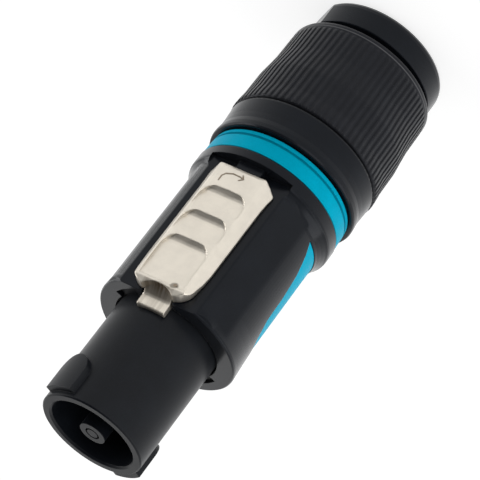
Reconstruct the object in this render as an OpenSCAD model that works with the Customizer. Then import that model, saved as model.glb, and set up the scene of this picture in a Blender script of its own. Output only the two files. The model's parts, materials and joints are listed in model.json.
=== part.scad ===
// Four-pole twist-lock speaker cable connector with a thumb latch and a screw-on strain relief.
// It stands on its cable end: the axis is Z, the nose is up and the latch faces -Y.
// Angles round the axis are measured from the latch and grow towards -X.

/* [Lengths along the axis] */
// Length from the cable end to the rim of the nose
total_l = 80; // [66:0.5:96]
// Length of nose barrel that stands out of the housing
nose_l = 19.3; // [16:0.1:24]
// Length of the black housing shell
shell_l = 27.4; // [22.5:0.1:33]
// Length of the coloured ring behind the shell
ring_l = 3.6; // [2.8:0.1:5]
// Length of the smooth band at the front of the bushing
band_l = 5.8; // [4.5:0.1:7.5]
// Length of the collar that stands out of the grip
collar_l = 4.9; // [4.2:0.1:6]
// Open gap between the collar and the rim of the grip
rim_gap = 1.2; // [0.9:0.05:1.45]

/* [Diameters and walls] */
// Diameter of the nose barrel
nose_d = 16.8; // [14:0.1:20.2]
// Wall of the nose barrel
nose_wall = 1.5; // [1.2:0.1:1.9]
// Wall of the coloured sleeve
sleeve_wall = 1.4; // [1.1:0.1:2]
// Wall of the housing shell
shell_wall = 1.35; // [1:0.05:1.8]
// Rise of the shell's two ridges beside the latch
ridge_h = 0.55; // [0.3:0.05:0.7]
// Rise of the shell's rear rim above its body
flare_h = 1.05; // [0.8:0.05:1.4]
// Wall of the threaded tail inside the bushing
tail_wall = 1.1; // [0.9:0.05:1.4]
// Wall of the bushing under the grip
core_wall = 0.8; // [0.6:0.05:1.2]
// Thickness of the grip at its front edge
grip_t = 1.1; // [0.9:0.05:1.6]
// Depth of the waist in the grip
waist_h = 0.45; // [0.2:0.05:0.55]
// Diameter of the collar
collar_d = 22.8; // [19:0.1:27.4]
// Distance from the axis to the collar's flat
flat_d = 10.6; // [9:0.1:11.2]
// Diameter of the neck between the collar and the grip
neck_d = 20.1; // [19:0.1:21.5]
// Diameter of the cable entry
cable_d = 14; // [10:0.1:16.8]

/* [Nose] */
// Depth of the socket in the nose
socket_l = 14; // [11:0.1:17]
// Diameter of the middle post
post_d = 4.2; // [3.5:0.1:5]
// Height of the bayonet lugs above the barrel
lug_h = 1; // [0.8:0.05:1.2]
// Length of the bayonet lugs
lug_l = 6.2; // [5:0.1:7.5]
// Width of the bayonet lugs
lug_w = 5.5; // [4.5:0.1:6.6]
// Distance from the rim to the lugs
lug_setback = 0.8; // [0.6:0.1:2]
// Angle of the first lug from the latch
lug_angle = -31.5; // [-50:0.5:-25]
// Angle of the first key from the latch
key_angle = -36; // [-60:0.5:-34]

/* [Latch] */
// Width of the latch slider
latch_w = 10.5; // [8.9:0.1:12.9]
// Height of the latch slider above the flat it runs on
latch_h = 2.6; // [2.1:0.05:3.2]
// Travel of the latch towards the cable
latch_travel = 1.6; // [1.3:0.1:2]
// Wall of the shell under the latch
flat_wall = 1.05; // [0.85:0.05:1.3]
// Width of the latch tongue
tongue_w = 4.6; // [4:0.1:6.2]
// Reach of the tongue in front of the shell
tongue_l = 1.8; // [1.2:0.1:2.4]
// Distance from one thumb step to the next
step_pitch = 5; // [4.1:0.1:6]
// Depth of the thumb steps
step_h = 0.7; // [0.4:0.05:0.85]

/* [Side windows] */
// Angle of the middle of each window from the latch
window_angle = 117.5; // [97:0.5:141]
// Half width of the window at its rear edge
window_rear_w = 7.6; // [6:0.1:9.2]
// Half width of the window along its middle
window_mid_w = 4.7; // [3.5:0.1:5.7]
// Length of the window
window_l = 17.7; // [14.7:0.1:21.3]

/* [Grip and thread] */
// Count of ribs round the grip
rib_count = 72; // [48:4:88]
// Depth of the grooves between the ribs
rib_h = 0.12; // [0.08:0.01:0.18]
// Length of the threaded tail
tail_l = 11.5; // [9:0.1:14]
// Count of fingers on the strain-relief chuck
finger_count = 8; // [6:1:10]

/* [Clearances] */
// Gap round pieces that slip into each other
fit_gap = 0.1; // [0.05:0.01:0.15]
// Gap round pieces that slide
slide_gap = 0.15; // [0.1:0.01:0.25]
// Gap between turning faces
turn_gap = 0.3; // [0.2:0.05:0.5]

/* [Hidden] */
$fn = 72;
eps = 0.01;

black = [0.13, 0.135, 0.15];
accent = [0.0, 0.62, 0.74];
nickel = [0.84, 0.82, 0.77];
copper = [0.78, 0.62, 0.42];
steel = [0.7, 0.71, 0.73];
chuck_white = [0.9, 0.9, 0.87];
soft_black = [0.08, 0.08, 0.09];

// Stations along the axis
face_z = total_l - nose_l;
shell_rear_z = face_z - shell_l;
ring_rear_z = shell_rear_z - ring_l;
bushing_front_z = ring_rear_z - turn_gap;
band_rear_z = bushing_front_z - band_l;
parting_w = 0.35;
grip_front_z = band_rear_z - parting_w;
cone_rear_z = 5.3;
tail_rear_z = max(ring_rear_z - tail_l, cone_rear_z + 4.5);
insert_rear_z = ring_rear_z - 2.7;
chuck_front_z = insert_rear_z - turn_gap;
lip_rear_z = face_z - 3;
socket_z = total_l - socket_l;

// Radii from the axis outwards
nose_r = nose_d / 2;
socket_r = nose_r - nose_wall;
post_r = post_d / 2;
sleeve_in_r = nose_r + fit_gap;
sleeve_r = sleeve_in_r + sleeve_wall;
cavity_r = sleeve_r + fit_gap / 2;
shell_r = cavity_r + shell_wall;
flare_r = shell_r + flare_h;
ring_r = flare_r - 0.1;
chamber_r = sleeve_r - fit_gap;
chuck_r = chamber_r - 2 * fit_gap;
tail_r = chamber_r + tail_wall;
bushing_bore_r = tail_r + fit_gap;
core_r = bushing_bore_r + core_wall;
band_r = flare_r + 0.3;
grip_r = core_r + grip_t;
collar_r = collar_d / 2;
cable_r = cable_d / 2;
gland_r = cable_r + 1;
finger_in_r = cable_r + 0.15;
chuck_in_r = min(finger_in_r + 0.4, chuck_r - 1);

// The flat that the latch runs on, and what lies under it
flat_y = nose_r + slide_gap + flat_wall;
flat_w = 2 * sqrt(pow(flare_r, 2) - pow(flat_y, 2)) - 1.6;
inner_flat_y = nose_r + slide_gap;
foot_r = nose_r - fit_gap;
foot_t = 0.5;
recess_r = foot_r - foot_t - 2 * slide_gap;

// Latch stations
pocket_z = shell_rear_z + 1.6;
latch_rear_z = pocket_z + latch_travel + fit_gap;
latch_front_z = face_z - 0.3;
step_1_z = latch_rear_z + 4.5;
pad_w = latch_w - 3;
pad_corner_r = 2.3;
arch_w = 5.4;
arch_h = 1;
roof_h = latch_h - step_h - 0.65;
bridge_w = 4.2;
bridge_h = roof_h - 0.25;
bridge_front_z = latch_rear_z + 6.9;
neck_w = 3.2;
neck_l = 3;
neck_front_z = face_z - 6.4;
neck_rear_z = neck_front_z - neck_l;
slot_w = neck_w + 2 * slide_gap;
spring_wire_r = 0.15;
spring_r = min(0.8, (flat_y + roof_h - nose_r) / 2 - fit_gap - spring_wire_r);
spring_y = (flat_y + roof_h + nose_r) / 2;
spring_turns = 7;
tongue_t = 0.75;
tongue_root_z = face_z - 2;
key_half_angle = 12;

// Bushing stations
cone_front_z = tail_rear_z - 1.2;
gland_rear_z = 0.8;
grip_in_r = core_r + fit_gap / 2;
rim_r = collar_r + 0.9;
rim_z = collar_l + rim_gap;
neck_r = neck_d / 2;
flat_angle = -57;
shoulder_z = rim_z + 1.5;

// Contact places, as the angle from the latch
contact_angles = [45, 135, -135, -45];
contact_radius = nose_r - 3.5;
contact_w = 3;
tube_r = 2.2;
tube_bore_r = 1.7;
tube_rear_z = insert_rear_z + 3;
tube_front_z = tube_rear_z + 12;
screw_z = tube_rear_z + 4;
screw_r = 1.1;
screw_head_r = 1.5;
screw_head_t = 0.8;
blade_r = socket_r + 0.3;
blade_front_z = socket_z + 7;
clamp_h = 0.85;
clamp_t = 0.4;

// Turns its children to an angle round the axis, with +X pointing outwards
module at_angle(angle) rotate([0, 0, -90 - angle]) children();

// Lays its children on the latch side: Y runs along the axis and Z outwards from a distance
module on_side(distance) translate([0, -distance, 0]) rotate([90, 0, 0]) children();

// A ring or disc profile turned round the axis
module turned(points) rotate_extrude() polygon(points);

// A side profile of (axial, outward) points, extruded evenly across the middle plane
module side_profile(width, points)
    translate([-width / 2, 0, 0]) rotate([90, 0, 90]) linear_extrude(width) polygon(points);

module tube(outer, inner, low, high)
    difference() {
        translate([0, 0, low]) cylinder(r = outer, h = high - low);
        translate([0, 0, low - 1]) cylinder(r = inner, h = high - low + 2);
    }

module block(width, depth, low, high)
    translate([-width / 2, -depth / 2, low]) cube([width, depth, high - low]);

function s_curve(t) = t * t * (3 - 2 * t);
function turned_angle(a) = a > 180 ? a - 360 : a;
function ridge(a) = ridge_h * exp(-pow((abs(turned_angle(a)) - 43) / 11, 2));
function arc(cx, cy, r, a0, a1, n) = [for (i = [0:n]) let (a = a0 + (a1 - a0) * i / n) [cx + r * cos(a), cy + r * sin(a)]];

// Outline of the shell's body across the axis, with a ridge on each side of the latch
module shell_section(grow)
    polygon([for (a = [0:3:357]) (shell_r + grow + ridge(a)) * [sin(a), -cos(a)]]);

// Window outline of (across, axial) points, from a pointed front to a wide rear edge
function window_side(inset) = [
    [window_rear_w - 2 * inset, inset],
    [window_mid_w + 1.9 - inset, 0.11 * window_l],
    [window_mid_w + 0.8 - inset, 0.28 * window_l],
    [window_mid_w + 0.15 - inset, 0.5 * window_l],
    [window_mid_w - 0.1 - inset, 0.75 * window_l],
    [0.72 * window_mid_w - inset, 0.9 * window_l],
    [0.35 * window_mid_w, 0.975 * window_l - inset]
];

module window_prism(side, inset)
    at_angle(side * window_angle) translate([shell_r - 3, 0, shell_rear_z + 4.55]) rotate([90, 0, 90])
        linear_extrude(6) polygon(concat(
            window_side(inset),
            [[0, window_l - inset]],
            [for (i = [6:-1:0]) let (p = window_side(inset)[i]) [-p[0], p[1]]]));

module key_sector(outer, half_angle, low, high)
    for (side = [0, 180])
        at_angle(key_angle + side) translate([0, 0, low]) rotate([0, 0, -half_angle])
            rotate_extrude(angle = 2 * half_angle) translate([nose_r - 0.4, 0]) square([outer - nose_r + 0.4, high - low]);

module shell_envelope() {
    flare_points = [[shell_r - 0.4, shell_rear_z + 5.4], [shell_r - 0.05, shell_rear_z + 4.7],
        [shell_r + 0.12, shell_rear_z + 4.05], [shell_r + 0.4, shell_rear_z + 3.4],
        [flare_r - 0.3, shell_rear_z + 2.75], [flare_r - 0.08, shell_rear_z + 2.45],
        [flare_r, shell_rear_z + 2.1]];
    intersection() {
        translate([0, 0, shell_rear_z + 2]) linear_extrude(shell_l - 2) shell_section(0);
        turned([[0, shell_rear_z], [flare_r, shell_rear_z], [shell_r + ridge_h + 0.3, face_z - 1.6],
            [shell_r + ridge_h + 0.05, face_z - 0.8], [shell_r + 0.25, face_z - 0.3],
            [shell_r + 0.1, face_z - 0.05], [shell_r, face_z], [0, face_z]]);
    }
    turned(concat([[0, shell_rear_z + 5.4]], flare_points,
        [[flare_r, shell_rear_z + 0.25], [flare_r - 0.25, shell_rear_z], [0, shell_rear_z]]));
    // Front end swells a little towards its edge
    turned([[0, face_z - 7], [shell_r - 0.08, face_z - 7], [shell_r + 0.08, face_z - 3.6],
        [shell_r + 0.26, face_z - 1], [shell_r + 0.3, face_z - 0.5], [shell_r + 0.25, face_z - 0.2],
        [shell_r + 0.08, face_z], [0, face_z]]);
}

module housing_shell() color(black)
    difference() {
        union() {
            difference() {
                shell_envelope();
                // Flat that opens the rear rim as a pocket and runs out of the front face
                translate([-flat_w / 2, -flat_y - 10, pocket_z]) cube([flat_w, 10, shell_l]);
            }
            // Bridge that enters the latch and backs its spring
            on_side(flat_y - eps) side_profile(bridge_w, [[pocket_z - eps, 0], [bridge_front_z, 0],
                [bridge_front_z, bridge_h], [pocket_z + 2.2, bridge_h], [pocket_z - eps, bridge_h + 0.25]]);
        }
        // Cavity with a flat side that leaves the wall under the latch
        intersection() {
            translate([0, 0, shell_rear_z - 1]) cylinder(r = cavity_r, h = lip_rear_z - shell_rear_z + 1);
            translate([-shell_r, -inner_flat_y, shell_rear_z - 2]) cube([2 * shell_r, 2 * shell_r, shell_l]);
        }
        translate([0, 0, lip_rear_z - 1]) cylinder(r = nose_r + 0.35, h = shell_l);
        key_sector(nose_r + 1.45, key_half_angle + 2.5, lip_rear_z - 1, face_z + 1);
        // Slot for the spring and the latch's neck, and slot for the tongue
        translate([0, -flat_y, 0]) {
            block(slot_w, 4, bridge_front_z, neck_front_z);
            block(tongue_w + 4 * slide_gap, 4, tongue_root_z - latch_travel - slide_gap, face_z + 1);
        }
        window_prism(1, 0);
        window_prism(-1, 0);
    }

module accent_sleeve() color(accent)
    difference() {
        union() {
            intersection() {
                union() {
                    translate([0, 0, ring_rear_z]) cylinder(r = sleeve_r, h = lip_rear_z - ring_rear_z - 0.05);
                    for (side = [-1, 1])
                        intersection() {
                            window_prism(side, 0.05);
                            translate([0, 0, shell_rear_z + 4]) linear_extrude(shell_l - 6) shell_section(-0.12);
                        }
                }
                translate([-shell_r - 1, -inner_flat_y + 0.05, ring_rear_z]) cube([2 * shell_r + 2, 3 * shell_r, shell_l + ring_l]);
            }
            // Ring with a groove and a thin lip at its rear edge
            turned([[0, shell_rear_z - 0.02], [ring_r, shell_rear_z - 0.02], [ring_r - 0.1, ring_rear_z + 1.15],
                [ring_r - 0.32, ring_rear_z + 1.05], [ring_r - 0.32, ring_rear_z + 0.7],
                [ring_r - 0.14, ring_rear_z + 0.6], [ring_r - 0.22, ring_rear_z], [0, ring_rear_z]]);
            translate([0, 0, tail_rear_z]) cylinder(r = tail_r, h = tail_l + 0.5);
        }
        translate([0, 0, insert_rear_z]) cylinder(r = sleeve_in_r, h = total_l);
        translate([0, 0, tail_rear_z - 1]) cylinder(r = chamber_r, h = insert_rear_z - tail_rear_z + 1);
        // Window pads stay clear of the keys where they reach the front lip
        translate([0, 0, lip_rear_z]) cylinder(r = nose_r + 1.45, h = shell_l);
        // Key slots for the chuck
        block(2 * tail_r + 4, 3, tail_rear_z - 1, insert_rear_z - 0.6);
        // Way for the latch's spring, neck and foot
        translate([0, -sleeve_r, 0]) block(max(neck_w + 3, tongue_w + 1.1), 4, bridge_front_z, face_z);
    }

module lug(angle, setback)
    intersection() {
        tube(nose_r + lug_h, nose_r - 0.4, total_l - lug_setback - lug_l, total_l - setback);
        at_angle(angle) rotate([90, 0, 90]) linear_extrude(nose_r + 2)
            union() {
                translate([-lug_w / 2, total_l - lug_setback - lug_l + lug_w / 2]) square([lug_w, lug_l]);
                translate([0, total_l - lug_setback - lug_l + lug_w / 2]) circle(r = lug_w / 2);
            }
    }

// Passage for one contact: a round chamber, a flat way through the web and a slot in the socket wall
module contact_passage() {
    translate([contact_radius, 0, insert_rear_z - 1]) cylinder(r = tube_r + fit_gap, h = tube_front_z - insert_rear_z + 1.2);
    translate([contact_radius, 0, screw_z]) rotate([0, 90, 0]) cylinder(r = screw_head_r + fit_gap, h = nose_r);
    translate([contact_radius - 0.7, -contact_w / 2 - fit_gap, tube_front_z - 1])
        cube([1.4, contact_w + 2 * fit_gap, socket_z - tube_front_z - 1]);
    translate([contact_radius - 0.7, -contact_w / 2 - fit_gap, socket_z - 6.3])
        cube([blade_r + 0.35 - contact_radius + 0.7, contact_w + 2 * fit_gap, 6.4]);
    translate([socket_r - 1, -contact_w / 2 - fit_gap, socket_z])
        cube([blade_r + 0.35 - socket_r + 1, contact_w + 2 * fit_gap, blade_front_z - socket_z + 1]);
}

module contact_insert() color(black)
    difference() {
        union() {
            // Barrel and terminal block with a chamfered rim
            turned([[0, insert_rear_z], [nose_r - 0.4, insert_rear_z], [nose_r, insert_rear_z + 0.4],
                [nose_r, total_l - 0.2], [nose_r - 0.2, total_l], [socket_r + 0.3, total_l],
                [socket_r, total_l - 0.3], [socket_r, socket_z], [0, socket_z]]);
            translate([0, 0, socket_z - 0.5]) cylinder(r = post_r, h = socket_l + 0.2);
            lug(lug_angle, lug_setback);
            lug(lug_angle + 180, 0.3);
            intersection() {
                key_sector(nose_r + 1.2, key_half_angle, lip_rear_z + 0.1, face_z - 0.5);
                translate([0, 0, lip_rear_z]) cylinder(r = nose_r + 1.2, h = 4);
            }
        }
        // Ring groove in the post's face
        tube(0.55 * post_r, 0.41 * post_r, total_l - 2, total_l + 1);
        for (angle = contact_angles) at_angle(angle) contact_passage();
        // Recess for the latch's foot
        intersection() {
            tube(nose_r + 1, recess_r, neck_rear_z - latch_travel - 1.2, neck_front_z + 0.4);
            on_side(0) translate([-3.1, neck_rear_z - latch_travel - 1.2, 5]) cube([6.2, 12, 6]);
        }
    }

module contact(index) color(copper) at_angle(contact_angles[index])
    difference() {
        union() {
            translate([contact_radius, 0, tube_rear_z]) cylinder(r = tube_r, h = tube_front_z - tube_rear_z);
            translate([0, contact_w / 2, 0]) rotate([90, 0, 0]) linear_extrude(contact_w) polygon([
                [contact_radius - 0.5, tube_front_z - 0.5], [contact_radius + 0.5, tube_front_z - 0.5],
                [contact_radius + 0.5, socket_z - 5.6], [blade_r + 0.2, socket_z - 2.4],
                [blade_r + 0.2, socket_z + 3.5], [blade_r - 0.15, socket_z + 5.2], [blade_r + 0.1, blade_front_z],
                [blade_r - 0.5, blade_front_z], [blade_r - 0.75, socket_z + 5.2], [blade_r - 0.4, socket_z + 3.5],
                [blade_r - 0.4, socket_z - 1.6], [contact_radius - 0.5, socket_z - 4.6]]);
        }
        translate([contact_radius, 0, tube_rear_z - 1]) cylinder(r = tube_bore_r, h = tube_front_z - tube_rear_z);
        translate([contact_radius, 0, screw_z]) rotate([0, 90, 0]) cylinder(r = screw_r + 0.05, h = 4);
    }

module terminal_screw(index) color(steel) at_angle(contact_angles[index]) translate([contact_radius, 0, screw_z])
    rotate([0, 90, 0]) difference() {
        union() {
            translate([0, 0, clamp_h + clamp_t + 0.03]) cylinder(r = screw_r, h = nose_r - contact_radius - 1.5 - clamp_h);
            translate([0, 0, nose_r - contact_radius - 0.3 - screw_head_t])
                cylinder(r1 = screw_head_r, r2 = screw_head_r - 0.15, h = screw_head_t);
        }
        for (turn = [0, 90]) rotate([0, 0, turn])
            translate([-0.2, -screw_head_r * 0.65, nose_r - contact_radius - 0.75]) cube([0.4, screw_head_r * 1.3, 2]);
    }

module wire_clamp(index) color(steel) at_angle(contact_angles[index])
    translate([contact_radius + clamp_h, -0.95, screw_z - 2]) cube([clamp_t, 1.9, 4]);

// Outline of the slider seen from outside, with clipped rear corners and rounded front corners
module latch_outline() {
    half = latch_w / 2;
    rear_corner = [[half, latch_rear_z + 4.5], [half + 0.08, latch_rear_z + 2.8], [half + 0.2, latch_rear_z + 1.6],
        [half + 0.12, latch_rear_z + 1.3], [half - 0.55, latch_rear_z + 0.75], [half - 1.5, latch_rear_z + 0.28],
        [half - 2.7, latch_rear_z]];
    difference() {
        polygon(concat(
            [for (p = rear_corner) [-p[0], p[1]]],
            [for (i = [6:-1:0]) rear_corner[i]],
            [[half - 0.03, latch_front_z - 6], [half - 0.15, latch_front_z - 4.2]],
            arc(half - 3.05, latch_front_z - 2.7, 2.7, 0, 90, 8),
            arc(-half + 3.05, latch_front_z - 2.7, 2.7, 90, 180, 8),
            [[-half + 0.15, latch_front_z - 4.2], [-half + 0.03, latch_front_z - 6]]));
        arch_r = (arch_w * arch_w / 4 + arch_h * arch_h) / (2 * arch_h);
        translate([0, latch_front_z - arch_h + arch_r]) circle(r = arch_r);
    }
}

// Cross-section of the slider: low edges, sloping flanks and a crowned top
module latch_crown() {
    half = latch_w / 2;
    side = [[half + 0.25, slide_gap], [half + 0.25, 0.25], [half - 0.25, 0.85], [half - 1.15, latch_h - 0.5],
        [half - 1.45, latch_h - 0.28], [half - 2.1, latch_h - 0.14], [half - 3.3, latch_h - 0.05], [0, latch_h]];
    polygon(concat(side, [for (i = [6:-1:0]) [-side[i][0], side[i][1]]]));
}

// Hollow of one thumb pad: a steep step at its rear end and a floor that rises to the next step
module thumb_pad(rear_z, length, end_h) {
    half = pad_w / 2;
    floor_h = latch_h - step_h;
    intersection() {
        linear_extrude(latch_h + 2) polygon(concat(
            arc(half - pad_corner_r, rear_z + pad_corner_r, pad_corner_r, -90, 0, 6),
            [[half, rear_z + length], [-half, rear_z + length]],
            arc(-half + pad_corner_r, rear_z + pad_corner_r, pad_corner_r, 180, 270, 6)));
        side_profile(pad_w + 1, [[rear_z - 0.1, latch_h + 1], [rear_z, latch_h], [rear_z + 0.2, latch_h - 0.3 * step_h],
            [rear_z + 0.6, floor_h + 0.28 * step_h], [rear_z + 1, floor_h + 0.08 * step_h], [rear_z + 1.45, floor_h],
            [rear_z + 0.62 * length, floor_h + 0.3 * (end_h - floor_h)],
            [rear_z + length, end_h], [rear_z + length, latch_h + 1]]);
    }
}

module latch_slider() color(nickel) {
    arm_h = flat_y - nose_r - slide_gap;
    difference() {
        union() {
            on_side(flat_y) difference() {
                intersection() {
                    linear_extrude(latch_h + 1) latch_outline();
                    translate([0, latch_front_z + 1, 0]) rotate([90, 0, 0])
                        linear_extrude(latch_front_z - latch_rear_z + 2) latch_crown();
                    // Top of the slider rounds over at its rear edge and falls away to its front edge
                    side_profile(latch_w + 2, [[latch_rear_z - 1, -1], [latch_front_z + 1, -1],
                        [latch_front_z + 1, latch_h - 1.3], [latch_front_z - 1, latch_h - 0.65],
                        [latch_front_z - 5, latch_h - 0.12], [latch_front_z - 9, latch_h + 0.5],
                        [latch_rear_z + 1.7, latch_h + 0.05], [latch_rear_z + 0.8, latch_h - 0.12],
                        [latch_rear_z + 0.25, latch_h - 0.4], [latch_rear_z, latch_h - 0.8],
                        [latch_rear_z - 1, latch_h - 0.8]]);
                }
                for (i = [0, 1]) thumb_pad(step_1_z + i * step_pitch, step_pitch, latch_h - 0.06);
                thumb_pad(step_1_z + 2 * step_pitch, latch_front_z - step_1_z - 2 * step_pitch - 1.4, latch_h - 0.75);
                // Channel underneath for the bridge and the spring
                translate([-bridge_w / 2 - 0.3, latch_rear_z - 1, -1])
                    cube([bridge_w + 0.6, neck_front_z - latch_rear_z + 2.5, roof_h + 1]);
            }
            // Neck and foot that hold the slider in the shell's slot
            on_side(0) translate([-neck_w / 2, neck_rear_z, foot_r - 0.3])
                cube([neck_w, neck_l - fit_gap / 2, flat_y + roof_h - foot_r + 0.5]);
            intersection() {
                tube(foot_r, foot_r - foot_t, neck_rear_z - 0.6, neck_front_z - fit_gap / 2);
                on_side(0) translate([-2.6, neck_rear_z - 1, 5]) cube([5.2, 6, 6]);
            }
            // Arm that drops to the barrel and ends in the tongue
            on_side(flat_y) side_profile(tongue_w, [[tongue_root_z, 1.4], [face_z - 1.6, 1.3],
                [face_z - 1.2, 1.05], [face_z - 0.6, 0.35], [face_z - 0.2, tongue_t - arm_h + 0.2],
                [face_z + 0.15, tongue_t - arm_h], [face_z + tongue_l - 0.15, tongue_t - arm_h - 0.1],
                [face_z + tongue_l, tongue_t - arm_h - 0.25], [face_z + tongue_l, -arm_h - 1],
                [tongue_root_z, -arm_h - 1]]);
        }
        // Underside of the tongue follows the barrel
        translate([0, 0, tongue_root_z - 1]) cylinder(r = nose_r + slide_gap, h = 10);
    }
}

// Wire of a coil spring as one tube swept along a helix
module coil(mean_r, wire_r, length, turns) {
    sides = 8;
    rings = turns * 16;
    pitch = (length - 2 * wire_r) / turns;
    points = [for (i = [0:rings], j = [0:sides - 1])
        let (a = 360 * i * turns / rings, b = 360 * j / sides, r = mean_r + wire_r * cos(b))
        [r * cos(a), r * sin(a), wire_r + pitch * a / 360 + wire_r * sin(b)]];
    walls = [for (i = [0:rings - 1], j = [0:sides - 1]) let (k = (j + 1) % sides)
        [i * sides + j, (i + 1) * sides + j, (i + 1) * sides + k, i * sides + k]];
    polyhedron(points, concat(walls, [[for (j = [0:sides - 1]) j]],
        [[for (j = [sides - 1:-1:0]) rings * sides + j]]), convexity = 10);
}

module latch_spring() color(steel)
    translate([0, -spring_y, bridge_front_z + 0.02])
        coil(spring_r, spring_wire_r, neck_rear_z - bridge_front_z - 0.04, spring_turns);

module chuck_collet() color(chuck_white)
    difference() {
        union() {
            turned([[finger_in_r, cone_rear_z + 0.2], [gland_r - 0.3, cone_rear_z + 0.2],
                [chuck_r - 0.1, cone_front_z - 0.6], [chuck_r - 0.1, tail_rear_z + 1.2],
                [chuck_r, tail_rear_z + 1.6], [chuck_r, chuck_front_z - 0.4], [chuck_r - 0.4, chuck_front_z],
                [chuck_in_r + 0.3, chuck_front_z], [chuck_in_r, tail_rear_z + 2]]);
            intersection() {
                block(2 * (tail_r - 0.4), 2.6, tail_rear_z + 2, insert_rear_z - 0.9);
                tube(tail_r - 0.4, chuck_r - 0.6, tail_rear_z + 2, insert_rear_z - 0.9);
            }
        }
        // Slits between the fingers, and grip teeth inside them
        for (i = [0:finger_count - 1])
            rotate([0, 0, (i + 0.5) * 360 / finger_count])
                translate([0, -0.6, cone_rear_z - 1]) cube([chuck_r + 1, 1.2, tail_rear_z - cone_rear_z + 0.4]);
        for (i = [0:4])
            turned([[finger_in_r - 1, cone_rear_z + 2 + 2 * i], [finger_in_r + 0.35, cone_rear_z + 2.6 + 2 * i],
                [finger_in_r - 1, cone_rear_z + 3.2 + 2 * i]]);
    }

module bushing_shell() color(black)
    difference() {
        turned([[gland_r + 0.02, 0], [collar_r - 1.45, 0], [collar_r - 0.89, 0.11], [collar_r - 0.42, 0.42],
            [collar_r - 0.11, 0.89], [collar_r, 1.45], [collar_r, collar_l - 0.12], [collar_r - 0.12, collar_l],
            [neck_r, collar_l], [neck_r, shoulder_z], [core_r - 0.2, shoulder_z], [core_r, shoulder_z + 0.2],
            [core_r, band_rear_z], [band_r + 0.1, band_rear_z], [band_r + 0.15, band_rear_z + 0.25],
            [band_r, bushing_front_z - 3], [band_r, bushing_front_z - 1.9], [band_r + 0.13, bushing_front_z - 1.1],
            [band_r + 0.16, bushing_front_z - 0.4], [band_r + 0.05, bushing_front_z - 0.1],
            [band_r - 0.1, bushing_front_z], [bushing_bore_r + 0.4, bushing_front_z],
            [bushing_bore_r, bushing_front_z - 0.4], [bushing_bore_r, cone_front_z],
            [chuck_r + 0.15, cone_front_z], [gland_r - 0.1, cone_rear_z], [gland_r + 0.02, cone_rear_z - 0.1]]);
        // Flat along one side of the collar
        at_angle(flat_angle) translate([flat_d, -collar_r, -1]) cube([4, 2 * collar_r, collar_l + 1.3]);
    }

// Outer line of the grip, from its front edge over the waist to its rear shoulder
grip_l = grip_front_z - rim_z;
grip_line = [[grip_r + 0.08, grip_front_z - 0.25], [grip_r + 0.03, grip_front_z - 0.08 * grip_l],
    [grip_r - 0.1, grip_front_z - 0.16 * grip_l], [grip_r - 0.13, grip_front_z - 0.41 * grip_l],
    [grip_r - waist_h + 0.1, grip_front_z - 0.53 * grip_l], [grip_r - waist_h - 0.1, grip_front_z - 0.66 * grip_l],
    [max(grip_r - waist_h - 0.16, rim_r), rim_z + 1.45]];

module grip_body(sink)
    turned(concat([[grip_in_r, shoulder_z - fit_gap], [grip_in_r, grip_front_z], [grip_r - 0.12 - sink, grip_front_z]],
        [for (p = grip_line) [p[0] - sink, p[1]]],
        [[rim_r - 0.12, rim_z + 1.05], [rim_r, rim_z + 0.7], [rim_r - 0.03, rim_z + 0.32],
        [rim_r - 0.13, rim_z + 0.1], [rim_r - 0.32, rim_z], [neck_r + fit_gap, rim_z],
        [neck_r + fit_gap, shoulder_z - fit_gap]]));

module grip_sleeve() color(soft_black) {
    pitch = 360 / rib_count;
    grip_body(rib_h);
    intersection() {
        grip_body(0);
        translate([0, 0, rim_z + 0.9]) linear_extrude(grip_front_z - rim_z - 1.05)
            polygon([for (i = [0:rib_count - 1], j = [0:3])
                (j == 1 || j == 2 ? grip_r + 1 : core_r + 0.15)
                * [cos(pitch * (i + [-0.25, -0.25, 0.25, 0.25][j])), sin(pitch * (i + [-0.25, -0.25, 0.25, 0.25][j]))]]);
    }
}

module gland_ring() color(soft_black)
    turned([[cable_r, gland_rear_z + 0.4], [cable_r + 0.25, gland_rear_z], [gland_r, gland_rear_z],
        [gland_r, cone_rear_z - 0.3], [cable_r + 0.25, cone_rear_z - 0.3], [cable_r, cone_rear_z - 0.7]]);

housing_shell();
accent_sleeve();
contact_insert();
contact(0);  // contact_1_plus
contact(1);  // contact_1_minus
contact(2);  // contact_2_plus
contact(3);  // contact_2_minus
terminal_screw(0);  // terminal_screw_1_plus
terminal_screw(1);  // terminal_screw_1_minus
terminal_screw(2);  // terminal_screw_2_plus
terminal_screw(3);  // terminal_screw_2_minus
wire_clamp(0);  // wire_clamp_1_plus
wire_clamp(1);  // wire_clamp_1_minus
wire_clamp(2);  // wire_clamp_2_plus
wire_clamp(3);  // wire_clamp_2_minus
latch_slider();
latch_spring();
chuck_collet();
bushing_shell();
grip_sleeve();
gland_ring();
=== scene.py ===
import json
import math
import bmesh
import bpy
from mathutils import Matrix, Vector
from mathutils.bvhtree import BVHTree


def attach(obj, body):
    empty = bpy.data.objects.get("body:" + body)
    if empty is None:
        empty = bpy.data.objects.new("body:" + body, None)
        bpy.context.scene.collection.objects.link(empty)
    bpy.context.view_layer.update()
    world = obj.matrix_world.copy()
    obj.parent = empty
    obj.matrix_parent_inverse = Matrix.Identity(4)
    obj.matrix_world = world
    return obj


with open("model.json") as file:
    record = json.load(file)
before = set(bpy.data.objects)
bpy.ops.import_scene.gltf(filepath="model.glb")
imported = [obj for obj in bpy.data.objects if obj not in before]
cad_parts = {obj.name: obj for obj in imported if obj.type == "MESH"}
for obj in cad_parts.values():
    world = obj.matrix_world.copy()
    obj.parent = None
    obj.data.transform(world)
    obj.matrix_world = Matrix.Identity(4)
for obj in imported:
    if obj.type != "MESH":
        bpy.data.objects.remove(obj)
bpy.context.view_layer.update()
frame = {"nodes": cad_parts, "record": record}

scene = bpy.context.scene
scene.view_settings.view_transform = "Standard"
nodes = frame["nodes"]
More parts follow.
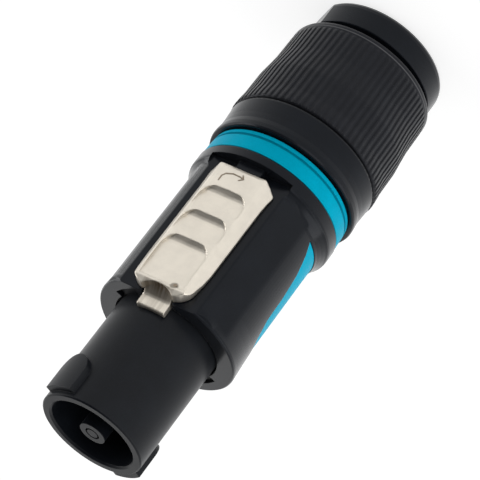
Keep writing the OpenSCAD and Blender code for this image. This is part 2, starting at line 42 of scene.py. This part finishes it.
MM = 0.001


# Camera, fitted to eight round edges of the photograph
# The lens is in mm on a 36 mm sensor, and the place is in metres
SENSOR_MM = 36
LENS_MM = 199.26
CAMERA_PLACE = (-0.16075, -0.30881, 0.22449)
CAMERA_RIGHT = (-0.8370, 0.1175, -0.5344)
CAMERA_FORWARD = (0.4081, 0.7846, -0.4667)
CLIP = (0.05, 20)


def make_camera():
    data = bpy.data.cameras.new("photo_camera")
    data.sensor_width = SENSOR_MM
    data.sensor_fit = "HORIZONTAL"
    data.lens = LENS_MM
    data.clip_start, data.clip_end = CLIP
    cam = bpy.data.objects.new("photo_camera", data)
    scene.collection.objects.link(cam)
    right = Vector(CAMERA_RIGHT).normalized()
    forward = Vector(CAMERA_FORWARD).normalized()
    up = right.cross(forward).normalized()
    right = forward.cross(up).normalized()
    m = Matrix((right, up, -forward)).transposed().to_4x4()
    m.translation = Vector(CAMERA_PLACE)
    cam.matrix_world = m
    scene.camera = cam


make_camera()


# Short calls for node trees
SHADER_SAMPLES = 6       # rays of each rounded edge and each crevice


class Tree:
    """Short calls for building a node tree."""

    def __init__(self, tree):
        self.tree = tree

    def add(self, kind, inputs=None, **settings):
        n = self.tree.nodes.new(kind)
        for key, value in settings.items():
            setattr(n, key, value)
        for key, value in (inputs or {}).items():
            if isinstance(value, bpy.types.NodeSocket):
                self.tree.links.new(value, n.inputs[key])
            else:
                n.inputs[key].default_value = value
        return n

    def math(self, operation, a, b=0.0, clamp=False):
        return self.add("ShaderNodeMath", {0: a, 1: b}, operation=operation, use_clamp=clamp).outputs[0]

    def vector(self, operation, a, b, output="Vector"):
        return self.add("ShaderNodeVectorMath", {0: a, 1: b}, operation=operation).outputs[output]

    def product(self, first, *others):
        for value in others:
            first = self.math("MULTIPLY", first, value)
        return first

    def swing(self, value, by, amount):
        """value, moved up and down by a 0 to 1 pattern."""
        return self.math("ADD", value, self.product(self.math("SUBTRACT", by, 0.5), amount))

    def ramp(self, value, low, high, to_low=0.0, to_high=1.0):
        """Smooth step from low to high, given out between to_low and to_high."""
        limits = {"Value": value, "From Min": low, "From Max": high, "To Min": to_low, "To Max": to_high}
        return self.add("ShaderNodeMapRange", limits, interpolation_type="SMOOTHSTEP").outputs["Result"]

    def fade(self, value, low, high, least=0.0):
        """Smooth step down from 1 at low to least at high."""
        return self.ramp(value, low, high, 1.0, least)

    def between(self, value, rise, fall):
        """1 between two pairs of limits, with a smooth step inside each pair."""
        return self.product(self.ramp(value, *rise), self.fade(value, *fall))

    def mix(self, factor, a, b):
        return self.add("ShaderNodeMix", {0: factor, 6: a, 7: b}, data_type="RGBA").outputs[2]

    def noise(self, coords, scale, detail=2.0, roughness=0.5):
        return self.add("ShaderNodeTexNoise", {"Vector": coords, "Scale": scale, "Detail": detail,
                                               "Roughness": roughness}).outputs["Fac"]

    def split(self, vector):
        return self.add("ShaderNodeSeparateXYZ", {0: vector}).outputs

    def object_place(self):
        return self.add("ShaderNodeTexCoord").outputs["Object"]

    def true_normal(self):
        return self.add("ShaderNodeNewGeometry").outputs["Normal"]

    def rounded_normal(self, radius_mm):
        return self.add("ShaderNodeBevel", {"Radius": radius_mm * MM}, samples=SHADER_SAMPLES).outputs[0]

    def edges(self, radius_mm):
        """1 on sharp edges and 0 on open faces, from how far a rounded normal turns away."""
        alike = self.vector("DOT_PRODUCT", self.rounded_normal(radius_mm), self.true_normal(), "Value")
        return self.ramp(self.math("SUBTRACT", 1.0, alike), 0.02, 0.25)

    def crevices(self, reach_mm, full_below, none_above):
        """1 deep in corners and grooves, 0 in the open, from how much of the surroundings is seen."""
        ao = self.add("ShaderNodeAmbientOcclusion", {"Distance": reach_mm * MM}, samples=SHADER_SAMPLES)
        return self.fade(ao.outputs["AO"], full_below, none_above)


def material(name, metallic=0.0, specular=0.5, tint=(1, 1, 1), sheen=0.0):
    mat = bpy.data.materials.new(name)
    mat.use_nodes = True
    bsdf = mat.node_tree.nodes["Principled BSDF"]
    bsdf.inputs["Metallic"].default_value = metallic
    bsdf.inputs["Specular IOR Level"].default_value = specular
    bsdf.inputs["Specular Tint"].default_value = (*tint, 1)
    bsdf.inputs["Sheen Weight"].default_value = sheen
    bsdf.inputs["Sheen Roughness"].default_value = 0.25
    return mat, Tree(mat.node_tree), bsdf


def finish_surface(t, bsdf, color, rough, height, depth_mm, edge_mm, facet=None):
    """Joins colour, roughness and fine relief, over edges that the shader rounds a little."""
    link = t.tree.links.new
    link(color, bsdf.inputs["Base Color"])
    link(rough, bsdf.inputs["Roughness"])
    soft = t.rounded_normal(edge_mm)
    if facet:
        soft = facet(t, soft)
    relief = {"Strength": 1.0, "Distance": depth_mm * MM, "Height": height, "Normal": soft}
    link(t.add("ShaderNodeBump", relief).outputs[0], bsdf.inputs["Normal"])


def shade(base, factor, lift=0.0):
    """base times factor plus lift, as an RGBA colour no brighter than white."""
    return (*[min(1, c * factor + lift) for c in base], 1.0)


# Plastics
CLOUD_SCALE = 260.0      # flow clouds of about 4 mm
FLOW_SPREAD = 2.2        # how far the clouds go to each side of the base colour, as a share of flow
GRAIN_TINT = 0.25        # how much of the paler colour the tops of the grain take
EDGE_WIDTH = 0.16        # mm that a paler edge reaches, partly worn and partly painted highlight
CLOUD_ROUGH, GRAIN_ROUGH = 0.16, 0.14    # how far the roughness swings with the clouds and the grain
EDGE_GLOSS, HOLLOW_DULL = 0.08, 0.3      # what an edge loses and a corner gains in roughness
SPECK_SHARE = 0.4        # height of the finest specks against the grain
GROOVE_SHADE, GROOVE_DROP = 0.75, 20.0    # painted shade in a groove, and its depth against the grain


def moulded(name, base, rough, grain_mm, grain_depth, specular=0.16, tint=(1, 1, 1), sheen=0.0, flow=0.06,
            wear=0.35, rub=0.03, rub_zone=None, polished=None, edge_mm=0.12, corner=0.55, reach=1.0,
            groove=None, facet=None):
    """Moulded plastic: fine eroded grain, faint flow clouds, paler edges that are partly worn and partly
    painted highlight, and duller corners with painted shade in them.

    wear and corner are the strengths of the paler edges and of the painted shade in corners,
    and rub is how much paler an edge gets. rub_zone limits the paler
    edges, polished adds a line of painted highlight, and groove paints a dark line of shade
    along a groove and sinks it there.
    """
    mat, t, bsdf = material(name, specular=specular, tint=tint, sheen=sheen)
    at = t.object_place()
    cloud = t.noise(at, CLOUD_SCALE, 3.0, 0.55)
    grain = t.noise(at, 1000.0 / grain_mm, 2.0, 0.6)
    speck = t.noise(at, 2600.0 / grain_mm, 1.0, 0.5)
    # Crevice mask, for the painted shade in corners and for their rougher surface
    crevice_shade = t.crevices(reach, 0.2, 0.8)
    edge = t.product(t.edges(EDGE_WIDTH), t.ramp(cloud, 0.35, 0.65, 0.45, 1.0))
    edge = t.product(edge, t.math("SUBTRACT", 1.0, crevice_shade))
    if rub_zone:
        edge = t.product(edge, rub_zone(t, at))
    if polished:
        edge = t.math("MAXIMUM", edge, polished(t, at))
    color = t.mix(t.ramp(cloud, 0.3, 0.7), shade(base, 1 - FLOW_SPREAD * flow),
                  shade(base, 1 + FLOW_SPREAD * flow))
    color = t.mix(t.product(t.ramp(grain, 0.42, 0.62), GRAIN_TINT), color, shade(base, 1.35, 0.002))
    # Paler edges: partly worn, partly painted highlight
    color = t.mix(t.product(edge, wear), color, shade(base, 1.3, rub))
    # Painted shade: corners and crevices darkened where little of the surroundings is seen
    color = t.mix(t.product(crevice_shade, corner), color, shade(base, 0.3))
    value = t.swing(t.swing(rough, cloud, CLOUD_ROUGH), grain, GRAIN_ROUGH)
    value = t.math("SUBTRACT", value, t.product(edge, EDGE_GLOSS))
    value = t.math("ADD", value, t.product(crevice_shade, HOLLOW_DULL))
    height = t.math("ADD", grain, t.product(speck, SPECK_SHARE))
    # Painted shade along a groove, which also sinks the relief there
    if groove:
        line = groove(t, at)
        color = t.mix(t.product(line, GROOVE_SHADE), color, shade(base, 0.35))
        height = t.math("SUBTRACT", height, t.product(line, GROOVE_DROP))
    finish_surface(t, bsdf, color, value, height, grain_depth, edge_mm, facet)
    return mat


# The outer faces of the two ridges beside the latch: where each starts and ends as an angle from the latch in
# radians and as a height in metres, and the direction that it faces as an angle from the latch
RIDGE_SIDE_RISE = (math.radians(34.5), math.radians(36))
RIDGE_SIDE_FALL = (math.radians(60), math.radians(68))
RIDGE_REAR = (36.4 * MM, 37.4 * MM)
RIDGE_FRONT = (58.8 * MM, 60.2 * MM)
RIDGE_FACES = math.radians(50)


def ridge_facets(t, normal):
    """Shades each ridge's outer face as one plane, where the CAD has it slightly round."""
    at = t.split(t.object_place())
    side = t.math("SIGN", at["X"])
    angle = t.math("ARCTAN2", t.math("ABSOLUTE", at["X"]), t.product(at["Y"], -1.0))
    inside = t.between(angle, RIDGE_SIDE_RISE, RIDGE_SIDE_FALL)
    along = t.between(at["Z"], RIDGE_REAR, RIDGE_FRONT)
    plane = t.add("ShaderNodeCombineXYZ", {0: t.product(side, math.sin(RIDGE_FACES)),
                                           1: -math.cos(RIDGE_FACES), 2: 0.0}).outputs[0]
    alike = t.vector("DOT_PRODUCT", normal, plane, "Value")
    share = t.product(inside, along, t.ramp(alike, 0.5, 0.65))
    both = t.add("ShaderNodeMix", {0: share, 4: normal, 5: plane}, data_type="VECTOR").outputs[1]
    return t.add("ShaderNodeVectorMath", {0: both}, operation="NORMALIZE").outputs[0]


def ring_line(z_mm, half_mm):
    """A line round the axis, by its height and half its width, as a mask."""
    def mask(t, at):
        off = t.math("ABSOLUTE", t.math("SUBTRACT", t.split(at)["Z"], z_mm * MM))
        return t.fade(off, half_mm * 0.5 * MM, half_mm * 1.2 * MM)
    return mask


GRIP_REAR, GRIP_FRONT = (6.6 * MM, 7.1 * MM), (22.8 * MM, 23.0 * MM)
RIB_HIGHLIGHT, FRONT_HIGHLIGHT = 0.06, 0.8         # painted highlight on the ribs and front rim, against the rear rim


def rim_highlight_zone(t, at):
    """Painted highlights on the grip: 1 at its rear rim, less at its front rim, nearly 0 along its ribs."""
    height = t.split(at)["Z"]
    rear = t.fade(height, *GRIP_REAR, RIB_HIGHLIGHT)
    return t.math("MAXIMUM", rear, t.ramp(height, *GRIP_FRONT, RIB_HIGHLIGHT, FRONT_HIGHLIGHT))


# Metals

# Marks on the latch as points (x, z) in mm: the unlock arrow on its rear pad, and the pin's head by the
# tongue, with the widths in mm of the dark tint round them
ARROW_SHAFT = [(2.35, 40.1), (2.38, 39.2), (2.02, 38.67), (0.94, 38.26), (-0.34, 38.32), (-0.95, 38.5)]
ARROW_HEAD = [[(-0.95, 38.5), (-0.4, 38.95)], [(-0.95, 38.5), (-0.55, 37.9)]]
PIN_MARK = (-2.28, 58.8)
PIN_SMUDGE = (PIN_MARK[0] + 0.25, PIN_MARK[1] + 0.1)     # the smudge runs from the head to here
ARROW_WORN, PIN_WORN = 0.24, 1.0


def stroke(t, flat, start, end, width):
    """1 on a straight stroke between two points (x, z) in mm, 0 beside it."""
    a = Vector((start[0], 0, start[1])) * MM
    along = Vector((end[0], 0, end[1])) * MM - a
    from_a = t.vector("SUBTRACT", flat, a[:])
    dot = t.vector("DOT_PRODUCT", from_a, along[:], "Value")
    share = t.math("DIVIDE", dot, along.length_squared, clamp=True)
    foot = t.add("ShaderNodeVectorMath", {0: along[:], 3: share}, operation="SCALE").outputs[0]
    gap = t.vector("DISTANCE", from_a, foot, "Value")
    return t.fade(gap, width * 0.35 * MM, width * 0.65 * MM)


def latch_marks(t, at):
    """A dark tint round the arrow and the pin mark, on faces that look outward."""
    flat = t.vector("MULTIPLY", at, (1, 0, 1))
    mark = stroke(t, flat, PIN_MARK, PIN_SMUDGE, PIN_WORN)
    for line in [ARROW_SHAFT] + ARROW_HEAD:
        for start, end in zip(line, line[1:]):
            mark = t.math("MAXIMUM", mark, stroke(t, flat, start, end, ARROW_WORN))
    return t.product(mark, t.fade(t.split(t.true_normal())["Y"], -0.7, -0.3))


# The tongue: where its slope starts and ends, where its painted shade thins out, its tip, and its half width
SLOPE_REAR, SLOPE_FRONT = (58.9 * MM, 59.3 * MM), (60.3 * MM, 61.0 * MM)
SLOPE_THINS = (59.2 * MM, 60.9 * MM)
TIP = (60.5 * MM, 60.9 * MM)
TONGUE_SIDE = (2.3 * MM, 2.7 * MM)
STREAK_STRETCH = (1.0, 0.05, 0.05)       # draws the noise out along the slope
STREAK_SCALE = 1700.0


def bend_shade_mask(t, at):
    """Painted brown shade on the slope from the crown down to the tongue, on faces turned towards the nose,
    in fine streaks along it, and faint dark streaks on its tip.
    """
    place = t.split(at)
    tilt = t.split(t.true_normal())["Z"]
    along = t.between(place["Z"], SLOPE_REAR, SLOPE_FRONT)
    across = t.fade(t.math("ABSOLUTE", place["X"]), *TONGUE_SIDE)
    drawn = t.add("ShaderNodeMapping", {"Vector": at, "Scale": STREAK_STRETCH}).outputs[0]
    streak = t.ramp(t.noise(drawn, STREAK_SCALE, 1.0, 0.5), 0.35, 0.65, 0.55, 1.0)
    slope = t.product(along, across, t.ramp(tilt, 0.15, 0.5), t.fade(place["Z"], *SLOPE_THINS, 0.45))
    tip = t.product(t.ramp(place["Z"], *TIP), t.math("SUBTRACT", streak, 0.6))
    return t.math("MAXIMUM", t.product(slope, streak), t.product(tip, 0.6))


METAL_CLOUD_SCALE = 330.0
METAL_EDGE_WIDTH = 0.14  # mm that a bright edge reaches
METAL_REACH = 0.9        # mm that the painted shade reaches out of a corner
METAL_CLOUD_ROUGH, METAL_EDGE_GLOSS = 0.18, 0.08
BEND_SHADE_HUE = (0.62, 0.54, 0.44)            # painted bend shade against the shade tint's red, green, blue
# Strengths of the painted shade on the bend and of the marks
BEND_SHADE_STRENGTH, MARK_STRENGTH = 0.95, 0.62
MARK_ROUGH, MARK_DROP = 0.2, 14.0        # what a mark adds in roughness, and its depth against the grain


def satin_metal(name, base, rough, grain_mm, depth_mm, grime=(0.30, 0.25, 0.19), edge_mm=0.1, metallic=1.0,
                marks=None, film=None, corner=0.62):
    """Plated metal with a blasted surface, brighter edges and warm painted shade in its corners."""
    mat, t, bsdf = material(name, metallic=metallic)
    at = t.object_place()
    cloud = t.noise(at, METAL_CLOUD_SCALE, 3.0, 0.6)
    grain = t.noise(at, 1000.0 / grain_mm, 2.0, 0.6)
    edge = t.edges(METAL_EDGE_WIDTH)
    color = t.mix(t.ramp(cloud, 0.3, 0.7), shade(base, 0.9), shade(base, 1))
    color = t.mix(t.product(t.ramp(grain, 0.4, 0.65), 0.18), color, shade(base, 1.08))
    # Painted shade: corners darkened towards the shade tint where little of the surroundings is seen
    color = t.mix(t.product(t.crevices(METAL_REACH, 0.25, 0.8), corner), color, shade(grime, 1))
    color = t.mix(t.product(edge, 0.5), color, shade(base, 1.15))
    value = t.swing(rough, cloud, METAL_CLOUD_ROUGH)
    value = t.math("SUBTRACT", value, t.product(edge, METAL_EDGE_GLOSS))
    height = grain
    # Painted shade on the tongue's bend
    if film:
        brown = [c * hue for c, hue in zip(grime, BEND_SHADE_HUE)]
        color = t.mix(t.product(film(t, at), BEND_SHADE_STRENGTH), color, shade(brown, 1))
    if marks:
        cut = marks(t, at)
        color = t.mix(t.product(cut, MARK_STRENGTH), color, shade(grime, 0.5))
        value = t.math("ADD", value, t.product(cut, MARK_ROUGH))
        height = t.math("SUBTRACT", height, t.product(cut, MARK_DROP))
    finish_surface(t, bsdf, color, value, height, depth_mm, edge_mm)
    return mat


# Materials of the CAD nodes

# Maker, base colour, roughness, grain in mm, depth of the grain in mm, and what sets each slot apart
# Lines of painted shade: the parting line between the band and the grip, and the ring's groove
PARTING_LINE_SHADE = ring_line(23.42, 0.46)
RING_GROOVE_SHADE = ring_line(30.5, 0.17)
# A line of painted highlight along the grip's rear rim
GRIP_RIM_HIGHLIGHT = ring_line(6.9, 0.09)
# Tint of the painted corner shade on the steel parts
GREY_SHADE_TINT = (0.12, 0.11, 0.1)
LOOK = {
    "housing_plastic": (moulded, (0.0052, 0.0064, 0.0090), 0.22, 0.24, 0.0024,
                        dict(specular=0.9, tint=(0.14, 0.147, 0.16), sheen=0.1, facet=ridge_facets)),
    # The insert's painted corner shade reaches 3.5 mm, which darkens its bore
    "insert_plastic": (moulded, (0.0056, 0.0070, 0.0098), 0.34, 0.2, 0.003,
                       dict(sheen=0.04, corner=0.5, reach=3.5)),
    # The bushing's paler edges are mostly painted highlight on its collar
    "bushing_plastic": (moulded, (0.0056, 0.0070, 0.0098), 0.22, 0.18, 0.0016,
                        dict(specular=0.26, tint=(0.5, 0.52, 0.56), wear=0.7, rub=0.05, groove=PARTING_LINE_SHADE)),
    # The grip: painted highlights on its rims, no painted shade in its corners
    "grip_rubber": (moulded, (0.0110, 0.0120, 0.0152), 0.32, 0.16, 0.002,
                    dict(specular=0.3, tint=(0.45, 0.46, 0.5), wear=0.85, rub=0.1, rub_zone=rim_highlight_zone,
                         polished=GRIP_RIM_HIGHLIGHT, edge_mm=0.62, corner=0.0)),
    "gland_rubber": (moulded, (0.012, 0.012, 0.0125), 0.75, 0.3, 0.006, dict(specular=0.2, wear=0.2)),
    "accent_plastic": (moulded, (0.0, 0.40, 0.585), 0.42, 0.2, 0.0018,
                       dict(specular=0.05, tint=(0, 0.8, 1), wear=0.1, flow=0.02, groove=RING_GROOVE_SHADE)),
    "chuck_plastic": (moulded, (0.76, 0.75, 0.70), 0.42, 0.25, 0.0025,
                      dict(specular=0.5, wear=0.1, flow=0.02)),
    "contact_metal": (satin_metal, (0.80, 0.66, 0.42), 0.3, 0.12, 0.001, dict(grime=(0.22, 0.14, 0.07))),
    "screw_steel": (satin_metal, (0.62, 0.63, 0.66), 0.3, 0.12, 0.001, dict(grime=GREY_SHADE_TINT)),
    # The latch: strong painted shade in its corners and steps, and painted shade on its tongue's bend
    "latch_metal": (satin_metal, (0.765, 0.711, 0.62), 0.36, 0.1, 0.003,
                    dict(metallic=0.92, grime=(0.24, 0.19, 0.14), corner=0.8, edge_mm=0.32, marks=latch_marks,
                         film=bend_shade_mask)),
    "spring_steel": (satin_metal, (0.58, 0.58, 0.6), 0.25, 0.08, 0.0008, dict(grime=GREY_SHADE_TINT)),
}
made = {}
for row in frame["record"]["subparts"]:
    which = row["material_slot"]
    if which not in made:
        maker, *values, options = LOOK[which]
        made[which] = maker(which, *values, **options)
    target = nodes[row["node"]].data.materials
    for i in range(len(target)):
        target[i] = made[which]
    if not target:
        target.append(made[which])


# Pieces added to the CAD model

def bridge(bm, a, b):
    """Faces from one closed ring of vertices to the next."""
    for i in range(len(a)):
        j = (i + 1) % len(a)
        bm.faces.new((a[i], a[j], b[j], b[i]))


def make_piece(name, bm, mat):
    """Turns a bmesh into an object with one material."""
    bmesh.ops.recalc_face_normals(bm, faces=bm.faces)
    mesh = bpy.data.meshes.new(name)
    bm.to_mesh(mesh)
    bm.free()
    piece = bpy.data.objects.new(name, mesh)
    scene.collection.objects.link(piece)
    mesh.materials.append(mat)
    return piece


# The thread in mm: its root and crest radius, its rise in a turn, where it starts and ends, half its width at
# the foot and at the top, its height where it fades out, and the two key slots that break it
THREAD_ROOT, THREAD_CREST, THREAD_PITCH = 10.97, 11.07, 2.0
THREAD_START, THREAD_END = 18.9, 29.0
FOOT_HALF, TOP_HALF = 0.55, 0.2
LEAST_HEIGHT = 0.02
SLOT_HALF, SLOT_END = 1.75, 27.2
THREAD_STEPS = 96        # points in a turn
RUN_OUT = 20             # points over which each end fades


def tail_thread():
    """The screw thread that the CAD leaves out, as a low ridge round the housing's tail."""
    bm = bmesh.new()
    last = None
    total = int((THREAD_END - THREAD_START) / THREAD_PITCH * THREAD_STEPS)
    least = THREAD_ROOT + LEAST_HEIGHT
    for i in range(total + 1):
        turn = i / THREAD_STEPS
        angle = 2 * math.pi * turn
        z = THREAD_START + THREAD_PITCH * turn
        x, y = math.cos(angle), math.sin(angle)
        if abs(THREAD_ROOT * y) < SLOT_HALF and z < SLOT_END:
            last = None
            continue
        fade = min(1.0, i / RUN_OUT, (total - i) / RUN_OUT)
        top = least + (THREAD_CREST - least) * fade
        section = ((THREAD_ROOT, -FOOT_HALF), (top, -TOP_HALF), (top, TOP_HALF), (THREAD_ROOT, FOOT_HALF))
        ring = [bm.verts.new((r * x * MM, r * y * MM, (z + dz) * MM)) for r, dz in section]
        if last:
            bridge(bm, last, ring)
        else:
            bm.faces.new(ring)
        last = ring
    bmesh.ops.holes_fill(bm, edges=[e for e in bm.edges if e.is_boundary], sides=4)
    piece = make_piece("tail_thread", bm, made["accent_plastic"])
    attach(piece, "housing")


# The filled engraving on the latch in mm: half a line's width and the share of it at the line's ends, and how
# far the fill stands proud of the surface and reaches into it
LINE_HALF, TIP_SHARE = 0.09, 0.45
PROUD, LINE_IN, PIN_IN = 0.008, 0.03, 0.1
ABOVE_LATCH = -0.03      # y in metres that the rays start from
PIN_RADIUS, PIN_SIDES = 0.26, 16
SPLITS = 4               # parts of each straight stretch, so that it follows the surface


def on_latch(tree, x, z):
    """Height y in metres of the latch's outer surface at (x, z) in mm."""
    return tree.ray_cast(Vector((x * MM, ABOVE_LATCH, z * MM)), Vector((0, 1, 0)))[0].y


def ribbon(bm, tree, line):
    """A closed strip along points (x, z) in mm, let into the latch's surface."""
    points = []
    for (ax, az), (bx, bz) in zip(line, line[1:]):
        points += [(ax + (bx - ax) * i / SPLITS, az + (bz - az) * i / SPLITS) for i in range(SPLITS)]
    points.append(line[-1])
    rings = []
    for i, (x, z) in enumerate(points):
        p, q = points[max(i - 1, 0)], points[min(i + 1, len(points) - 1)]
        share = TIP_SHARE if i in (0, len(points) - 1) else 1.0
        away = Vector((p[1] - q[1], q[0] - p[0])).normalized() * LINE_HALF * share
        left, right = (x + away.x, z + away.y), (x - away.x, z - away.y)
        corners = ((left, LINE_IN), (left, -PROUD), (right, -PROUD), (right, LINE_IN))
        rings.append([bm.verts.new((u * MM, on_latch(tree, u, w) + lift * MM, w * MM))
                      for (u, w), lift in corners])
    for a, b in zip(rings, rings[1:]):
        bridge(bm, a, b)
    bm.faces.new(rings[0])
    bm.faces.new(rings[-1][::-1])


def latch_engraving():
    """The filled engraved arrow, and the dark head of the pin that holds the tongue."""
    latch = nodes["latch_slider"].data
    tree = BVHTree.FromPolygons([v.co for v in latch.vertices], [p.vertices[:] for p in latch.polygons])
    bm = bmesh.new()
    for line in [ARROW_SHAFT] + ARROW_HEAD:
        ribbon(bm, tree, line)
    x0, z0 = PIN_MARK
    reach = (-PIN_RADIUS, PIN_RADIUS)
    level = min(on_latch(tree, x0 + dx, z0 + dz) for dx in reach for dz in reach)
    angles = [2 * math.pi * i / PIN_SIDES for i in range(PIN_SIDES)]
    low = [bm.verts.new(((x0 + PIN_RADIUS * math.cos(a)) * MM, level + PIN_IN * MM,
                         (z0 + PIN_RADIUS * math.sin(a)) * MM)) for a in angles]
    top = [bm.verts.new((v.co.x, level - PROUD * MM, v.co.z)) for v in low]
    bridge(bm, low, top)
    bm.faces.new(low)
    bm.faces.new(top[::-1])
    dark = satin_metal("engraved_line", (0.32, 0.255, 0.185), 0.5, 0.08, 0.002, metallic=0.5, corner=0.3)
    piece = make_piece("latch_engraving", bm, dark)
    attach(piece, "latch")


tail_thread()
latch_engraving()


# Floor, world and lamps
PAPER = 0.8              # grey of the floor, as the object is lit by it
SHOWN_PAPER, SHOWN_GLOW = 0.42, 0.76     # the same floor seen directly: its shadow stays, the rest is white
FLOOR_HALF = 4.0
DARK_POLE = (0.38, -0.58, 0.72)          # direction of the studio's dark side
DARK_FROM, DARK_FULL = 0.3, 0.9          # cosines between which the room darkens towards it
ROOM_BRIGHT, ROOM_DARK = 0.92, 0.06


def grey(level):
    return (level, level, level, 1.0)


def make_floor():
    mesh = bpy.data.meshes.new("floor")
    h = FLOOR_HALF
    mesh.from_pydata([(-h, -h, 0), (h, -h, 0), (h, h, 0), (-h, h, 0)], [], [(0, 1, 2, 3)])
    floor = bpy.data.objects.new("floor", mesh)
    scene.collection.objects.link(floor)
    mat = bpy.data.materials.new("floor_paper")
    mat.use_nodes = True
    t = Tree(mat.node_tree)
    out = mat.node_tree.nodes["Material Output"]
    mat.node_tree.nodes.remove(mat.node_tree.nodes["Principled BSDF"])
    path = t.add("ShaderNodeLightPath").outputs
    seen = t.math("MAXIMUM", path["Is Camera Ray"], path["Is Glossy Ray"])
    seen = t.math("MAXIMUM", seen, path["Is Transmission Ray"])
    paper = t.add("ShaderNodeBsdfDiffuse", {"Color": grey(PAPER)}).outputs[0]
    shown = t.add("ShaderNodeBsdfDiffuse", {"Color": grey(SHOWN_PAPER)}).outputs[0]
    glow = t.add("ShaderNodeEmission", {"Color": grey(1), "Strength": SHOWN_GLOW}).outputs[0]
    white = t.add("ShaderNodeAddShader", {0: shown, 1: glow}).outputs[0]
    both = t.add("ShaderNodeMixShader", {0: seen, 1: paper, 2: white}).outputs[0]
    mat.node_tree.links.new(both, out.inputs["Surface"])
    mesh.materials.append(mat)


def make_world():
    """A white backdrop for the camera, and a pale room with one dark side for everything else."""
    world = bpy.data.worlds.new("studio")
    world.use_nodes = True
    t = Tree(world.node_tree)
    back = world.node_tree.nodes["Background"]
    toward = t.add("ShaderNodeTexCoord").outputs["Generated"]
    pole = Vector(DARK_POLE).normalized()[:]
    facing = t.vector("DOT_PRODUCT", toward, pole, "Value")
    room = t.ramp(facing, DARK_FROM, DARK_FULL, ROOM_BRIGHT, ROOM_DARK)
    seen = t.add("ShaderNodeLightPath").outputs["Is Camera Ray"]
    level = t.add("ShaderNodeMix", {0: seen, 2: room, 3: 1.0}, data_type="FLOAT").outputs[0]
    world.node_tree.links.new(level, back.inputs["Strength"])
    back.inputs["Color"].default_value = grey(1)
    scene.world = world


AIM = (0, 0, 0.04)       # the middle of the object


def make_lamp(name, direction, distance, size, watts):
    """A soft box, with its distance and size in metres."""
    data = bpy.data.lights.new(name, "AREA")
    data.shape = "RECTANGLE"
    data.size, data.size_y = size
    data.energy = watts
    lamp = bpy.data.objects.new(name, data)
    scene.collection.objects.link(lamp)
    way = Vector(direction).normalized()
    lamp.location = Vector(AIM) + way * distance
    lamp.rotation_euler = way.to_track_quat("Z", "Y").to_euler()


make_floor()
make_world()
make_lamp("left_softbox", (0.92, -0.30, 0.22), 0.8, (0.7, 0.5), 3.0)
make_lamp("front_softbox", (-0.55, -0.82, 0.12), 0.9, (0.7, 0.4), 1.2)
make_lamp("right_softbox", (-0.95, 0.15, 0.25), 0.8, (0.6, 0.5), 1.6)
